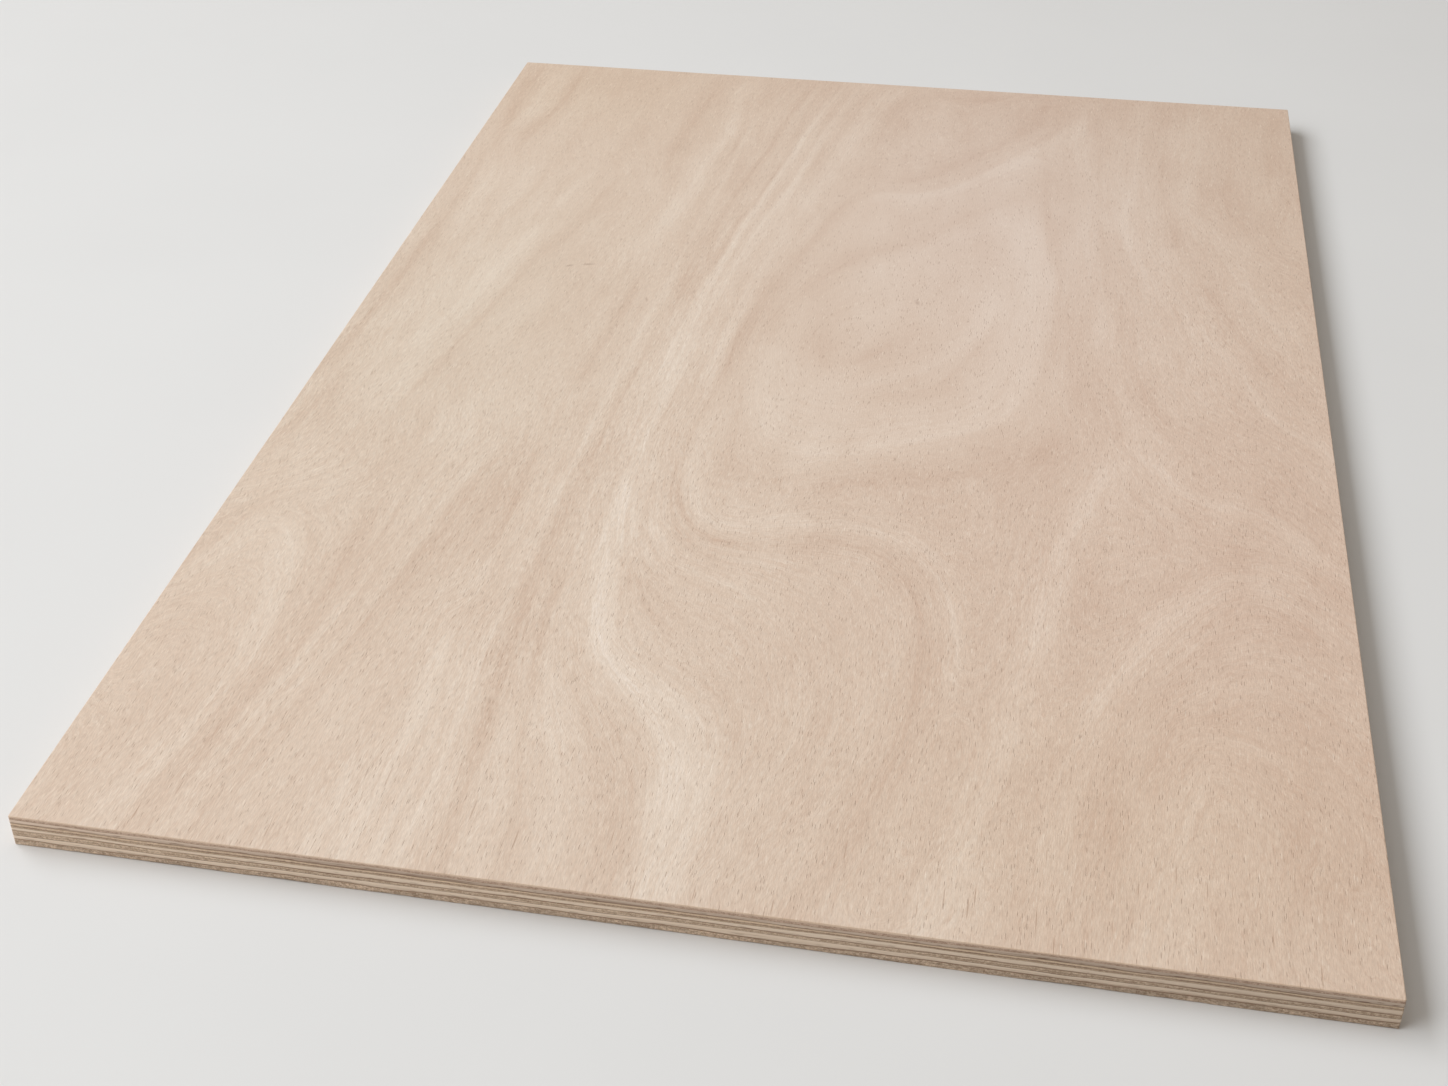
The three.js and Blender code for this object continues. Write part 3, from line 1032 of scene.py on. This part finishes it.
def face_figure(wood, ring, fibre, speckle):
    """The colour of the face from its growth lines, its strokes of fibre and its broad swells."""
    tone = wood.attribute("tone")
    packing = wood.attribute("packing")
    shown = 1 - wood.attribute("calm")
    coarse_growth = wood.grain(ring, 3.2, 260, 0.3, 2)
    close_growth = wood.grain(ring, 8, 160, 1.7, 2)
    wide_growth = wood.grain(ring, 16, 160, 4.1, 2)
    patchy = wood.noise(wood.place(30, 90, 60), 3, 0.55)
    cloud = wood.noise(wood.place(34, 90, 30, (3, 1, 0)), 3, 0.55) - 0.5
    bands = tone * (patchy * 0.75 + 0.35) * 0.21
    lined = wood.step(abs(tone), 0, 0.5)
    packed = packing * (lined * 0.6 + 0.4)
    spaced = (1 - packing) * (lined * 0.3 + 0.04)
    lines = (coarse_growth * 0.34 + close_growth * 0.32) * packed + wide_growth * spaced * 1.2
    streak = wood.strokes(ring, wood.attribute("pace"), 3.2, 40, 2.3)
    busy = (packing * 0.3 + 0.7) * shown
    broad = cloud * 0.3 + wood.attribute("shade") * 0.075
    total = bands + lines * shown + broad + (streak * 0.3 + fibre * 0.62) * busy + 0.5
    color = wood.brighten(wood.ramp(total, FACE_TONES), speckle * shown * 0.4 + 1)
    color = wood.tint(color, wood.attribute("ruddy"), REDDER)
    return wood.tint(color, wood.attribute("yellow"), YELLOWER)


def face_cut(wood, rise):
    """The colour of the face veneer's sawn edge: brown end grain under the sanded face, darker at its
    foot, with a painted highlight along its top.
    """
    specks = end_grain_specks(wood, (3, 0, 1))
    color = wood.mix(specks, FACE_CUT_DARK, FACE_CUT_LIGHT)
    # Painted highlight: a pale band along the top of the edge, where the arris catches the light.
    color = wood.mix(wood.step(rise, 0.62, 0.85) * 0.42, color, FACE_CUT_HIGHLIGHT)
    color = wood.mix((1 - wood.step(rise, 0.02, 0.16)) * 0.35, color, FACE_CUT_FOOT)
    # Painted shade: darker towards the sheet's right side.
    return wood.brighten(color, 1 - painted_shade_right(wood) * RIGHT_SHADE_PAINTED)


def face_finish():
    """Sanded, unsealed face veneer with fine open pores."""
    wood = new_finish("sanded_face_veneer")
    feather = wood.noise(wood.place(4, 22, 4, (2, 6, 0)), 3, 0.6) - 0.5
    ring = wood.attribute("ring") + feather * 0.1
    fibre = wood.strokes(ring, wood.attribute("pace"), 14, 6, 6.7)
    speckle = wood.noise(wood.place(0.5, 3.6, 0.6, (1, 5, 0)), 2, 0.6) - 0.5
    color = face_figure(wood, ring, fibre, speckle)

    pores = wood.dashes(wood.place(0.7, 7, 2), 0.26, 0.34)
    color = wood.mix(pores * 0.3, color, FACE_PORE)
    splits = wood.dashes(wood.place(2.6, 56, 20, (3, 3, 0)), 0.22, 0.15)
    color = wood.mix(splits * (near_end(wood) * 0.36 + 0.12), color, FACE_SPLIT)
    # Painted highlights: pale flecks on the face where raised grain catches the light.
    flecks = wood.dashes(wood.place(1.1, 9, 2, (4, 9, 0)), 0.18, 0.32)
    color = wood.mix(flecks * 0.28, color, FACE_GRAIN_HIGHLIGHT)
    scars = (wood.scar(352, 545, 10, 4, 15) + wood.scar(120, 558, 9, 4, -60)
             + wood.scar(132, 562, 13, 4, -78))
    color = wood.mix(scars * 0.3, color, FACE_SCAR)

    arris = 1 - wood.step(wood.attribute("edge"), 0.1, 0.6)
    color = wood.mix(arris * 0.4, color, ARRIS_HONEY)
    cut = 1 - wood.step(wood.attribute("glue"), 1.7, 1.9)
    color = wood.mix(cut, color, face_cut(wood, wood.attribute("rise")))

    roughness = fibre * 0.12 - flecks * 0.05 + 0.7
    height = speckle * 1.2 - pores * 1.0
    return wood.surface(color, roughness, wood.bump(height, FACE_BUMP), FACE_SHINE)


def cut_finish(name, across, looks):
    """The sawn edge of a veneer: streaks where its grain runs along the cut, specks across it."""
    wood = new_finish(name)
    facing_end = abs(wood.facing((1, 0, 0) if across else (0, 1, 0)))
    end_grain = wood.step(facing_end, 0.45, 0.75)
    rise = wood.attribute("rise")

    def cells(long, wide, high, shift):
        if across:
            return wood.place(long, wide, high, shift)
        return wood.place(wide, long, high, shift)

    broad = wood.noise(cells(130, 60, 1.6, (1, 2, 3)), 3, 0.6)
    streak = wood.noise(cells(42, 30, 0.42, (5, 2, 1)), 3, 0.7)
    # Painted highlight: the lanes grow paler towards the veneer's top rim, where it catches the light.
    lane = wood.step(broad * 0.45 + streak * 0.55 + rise * looks["rise"], 0.4, 0.7)
    color = wood.mix(lane, looks["dark"], looks["light"])
    flecks = wood.step(wood.noise(cells(9, 30, 0.8, (8, 4, 2)), 2, 0.6), 0.55, 0.64)
    low_down = 1 - wood.step(rise, 0.35, 0.75)
    color = wood.mix(flecks * low_down * looks["flecks"], color, TORN_FLECK)
    specks = end_grain_specks(wood, (2, 0, 4))
    color = wood.mix(end_grain, color, wood.mix(specks, looks["dark"], looks["light"]))
    wander = wood.noise(wood.place(22, 22, 5, (9, 9, 9)), 3, 0.6)
    lasting = wood.step(wood.noise(wood.place(90, 90, 4, (7, 3, 7)), 3, 0.6), 0.32, 0.62)
    lasting = lasting * 0.7 + 0.3 - left_end(wood) * 0.25
    for height, width, strength, line_color in looks["lines"]:
        away = abs(rise + (wander - 0.5) * 0.2 - height)
        line = (1 - wood.step(away, width * 0.3, width)) * lasting
        color = wood.mix(line * strength, color, line_color)
    stain = 1 - wood.step(wood.attribute("glue") - wander * 0.2, -0.06, 0.12)
    color = wood.mix(stain * 0.4, color, GLUE_STAIN)
    # Painted shade towards the sheet's right side, and painted light at its left end, nearest the lamps.
    color = wood.brighten(color, 1 - painted_shade_right(wood) * RIGHT_SHADE_PAINTED + left_end(wood) * looks["left"])

    height = streak * (1 - end_grain) + specks * end_grain
    return wood.surface(color, specks * 0.1 + 0.72, wood.bump(height, EDGE_BUMP), EDGE_SHINE)


def back_face(wood, fibre, pores):
    """The colour of the underside: plain peeled wood with soft flames and a few pin knots."""
    feather = wood.noise(wood.place(5, 30, 5, (3, 1, 0)), 3, 0.6) - 0.5
    ring = wood.attribute("ring") + feather * 0.16
    wide_growth = wood.grain(ring, 0.8, 400, 0.9, 2)
    growth = wood.grain(ring, 2.6, 260, 2.7, 2)
    cloud = wood.noise(wood.place(40, 110, 40, (2, 2, 0)), 3, 0.55) - 0.5
    streak = wood.strokes(ring, wood.attribute("pace"), 5, 36, 4.3)
    total = wide_growth * 0.5 + growth * 0.5 + cloud * 0.3 + streak * 0.45 + fibre * 0.3 + 0.5
    color = wood.ramp(total, BACK_TONES)
    knots = wood.dashes(wood.place(95, 130, 90, (0.3, 0.4, 0)), 0.07, 0.045)
    color = wood.mix(knots * 0.8, color, BACK_KNOT)
    return wood.mix(pores * 0.4, color, BACK_PORE)


def back_finish():
    """The back veneer: its sawn edge and its underside."""
    wood = new_finish("plain_back_veneer")
    under = wood.step(wood.facing((0, 0, -1)), 0.75, 0.95)
    end_grain = wood.step(abs(wood.facing((0, 1, 0))), 0.45, 0.75)
    fibre = wood.noise(wood.place(0.7, 6, 0.7), 2, 0.6) - 0.5
    pores = wood.dashes(wood.place(1.1, 8, 2), 0.24, 0.3)

    specks = end_grain_specks(wood, (6, 0, 3))
    blotch = wood.step(wood.noise(wood.place(16, 60, 1.2, (6, 2, 3)), 3, 0.6), 0.4, 0.62)
    end_color = wood.brighten(wood.mix(specks, *BACK_END_GRAIN), blotch * 0.24 + 0.86)
    lane = wood.noise(wood.place(1.2, 38, 0.28, (5, 2, 1)), 3, 0.65)
    long_color = wood.mix(wood.step(lane, 0.3, 0.7), *BACK_LONG_GRAIN)
    color = wood.mix(end_grain, long_color, end_color)
    stain = 1 - wood.step(wood.attribute("glue"), 0.02, 0.24)
    color = wood.mix(stain * 0.4, color, GLUE_STAIN)
    # Painted shade: darker towards the sheet's right side.
    color = wood.brighten(color, 1 - painted_shade_right(wood) * BACK_RIGHT_SHADE_PAINTED)
    color = wood.mix(under, color, back_face(wood, fibre, pores))

    height = fibre * under + specks * (1 - under) - pores * under
    return wood.surface(color, fibre * 0.15 + 0.7, wood.bump(height, EDGE_BUMP), EDGE_SHINE)


def dress(piece, node, material):
    """Puts a finished piece in the place of its CAD veneer."""
    piece.data.materials.append(material)
    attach(piece, "root")
    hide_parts(node)


def build_sheet():
    glue_lines = [glue_line(level) for level in range(1, len(STACK))]
    dress(back_piece(glue_lines[0]), "back_veneer", back_finish())
    for index, node in enumerate(STACK[1:-1]):
        slot, looks = LOOKS[node]
        piece = inner_veneer(node, glue_lines[index], glue_lines[index + 1])
        dress(piece, node, cut_finish(node + "_wood", node in ACROSS, looks))
    dress(face_piece(glue_lines[-1]), "face_veneer", face_finish())


# ---- Floor, light and camera ----

FLOOR_SIZE = 12.0
FLOOR_FADE = (1.0, 1.8)
PAPER = (paint(219, 218, 216), paint(223, 222, 220))
PAPER_ROUGHNESS = 0.85
PAPER_SHINE = 0.1
BACKDROP = paint(222, 221, 219)

# Each lamp stands where its numbers say, in metres from the middle of the sheet, and gives its
# share of the light there. The air gives the rest. The lamps are a little cool and the air is as
# much too warm, so that the shadows are warm and the sheet is lit white.
AIR_TINT = (1.1, 1.0, 0.88)
LAMPS = {
    "window": {"place": (-5.12, 0.0, 4.77), "size": (9.8, 3.6), "share": 0.54},
    "overhead": {"place": (-0.15, -0.1, 1.4), "size": (1.3, 1.3), "share": 0.12},
    "front": {"place": (-1.0, -1.2, 1.0), "size": (1.0, 0.7), "share": 0.04},
}
LAMP_STEPS = 20


def make_floor():
    """Pale paper that runs into the backdrop some way off, where the camera sees it."""
    bpy.ops.mesh.primitive_plane_add(size=FLOOR_SIZE, location=(0, 0, 0))
    floor = bpy.context.object
    floor.name = "studio_floor"
    paper = new_finish("pale_studio_paper")
    mottle = paper.noise(paper.place(180, 180, 180), 3, 0.5)
    lit = paper.shader(paper.mix(mottle, *PAPER), PAPER_ROUGHNESS, (0, 0, 0), PAPER_SHINE)
    far = paper.step(paper.away(paper.spot()), *FLOOR_FADE)
    seen = paper.node("LightPath", output="Is Camera Ray")
    backdrop = paper.node("Emission", {}, (BACKDROP, 1.0))
    paper.node("OutputMaterial", {}, (paper.node("MixShader", {}, (far * seen, lit, backdrop)),))
    paper.owner.cycles.emission_sampling = "NONE"
    floor.data.materials.append(paper.owner)


def lamp_power(place, size, share):
    """The power at which a lamp gives that share of a plain level on the sheet."""
    aim = -place.normalized()
    side = aim.cross(Vector((0, 0, 1))).normalized()
    across = (np.arange(LAMP_STEPS) + 0.5) / LAMP_STEPS - 0.5
    u, v = np.meshgrid(across * size[0], across * size[1])
    rays = np.array(place) + u[..., None] * side + v[..., None] * side.cross(aim)
    away = np.linalg.norm(rays, axis=-1)
    return share * math.pi**2 / (rays[..., 2] * abs(rays @ aim) / away**4).mean()


def make_lamp(name, lamp, tint):
    place = Vector(lamp["place"])
    data = bpy.data.lights.new(name, "AREA")
    data.shape = "RECTANGLE"
    data.size, data.size_y = lamp["size"]
    data.energy = lamp_power(place, lamp["size"], lamp["share"])
    data.color = tint
    light = bpy.data.objects.new(name, data)
    light.location = place
    light.rotation_euler = (-place).to_track_quat("-Z", "Y").to_euler()
    light.visible_camera = False
    bpy.context.scene.collection.objects.link(light)


def make_air(share):
    """Plain light from all round, and a pale backdrop for the camera."""
    world = bpy.data.worlds.new("studio")
    bpy.context.scene.world = world
    air = Finish(world)
    camera_ray = air.node("LightPath", output="Is Camera Ray")
    seen = camera_ray.math("MAXIMUM", camera_ray, camera_ray.beside("Is Glossy Ray"))
    brightest = max(AIR_TINT)
    tint = (*[channel / brightest for channel in AIR_TINT], 1)
    around = air.node("Background", {}, (tint, share * brightest))
    backdrop = air.node("Background", {}, (BACKDROP, 1.0))
    air.node("OutputWorld", {}, (air.node("MixShader", {}, (seen, around, backdrop)),))


def make_lights():
    share = sum(lamp["share"] for lamp in LAMPS.values())
    air_share = 1 - share
    lamp_tint = [(1 - air_share * tint) / share for tint in AIR_TINT]
    for name, lamp in LAMPS.items():
        make_lamp(name, lamp, lamp_tint)
    make_air(air_share)


SENSOR = 36.0
LENS = 49.82
EYE = (133.4, -1040.6, 630.8)
AIM = (-47.7, -134.6, 17.0)
ROLL = -0.79
SHIFT = (0.019, -0.0408)


def make_camera():
    camera = bpy.data.objects.new("camera", bpy.data.cameras.new("camera"))
    bpy.context.scene.collection.objects.link(camera)
    camera.data.sensor_width = SENSOR
    camera.data.lens = LENS
    camera.data.shift_x, camera.data.shift_y = SHIFT
    camera.location = Vector(EYE) * MM
    towards = (Vector(AIM) - Vector(EYE)) * MM
    roll = Quaternion((0, 0, 1), math.radians(ROLL))
    camera.rotation_euler = (towards.to_track_quat("-Z", "Y") @ roll).to_euler()
    bpy.context.scene.camera = camera


build_sheet()
make_floor()
make_lights()
make_camera()
bpy.context.scene.view_settings.view_transform = "Standard"
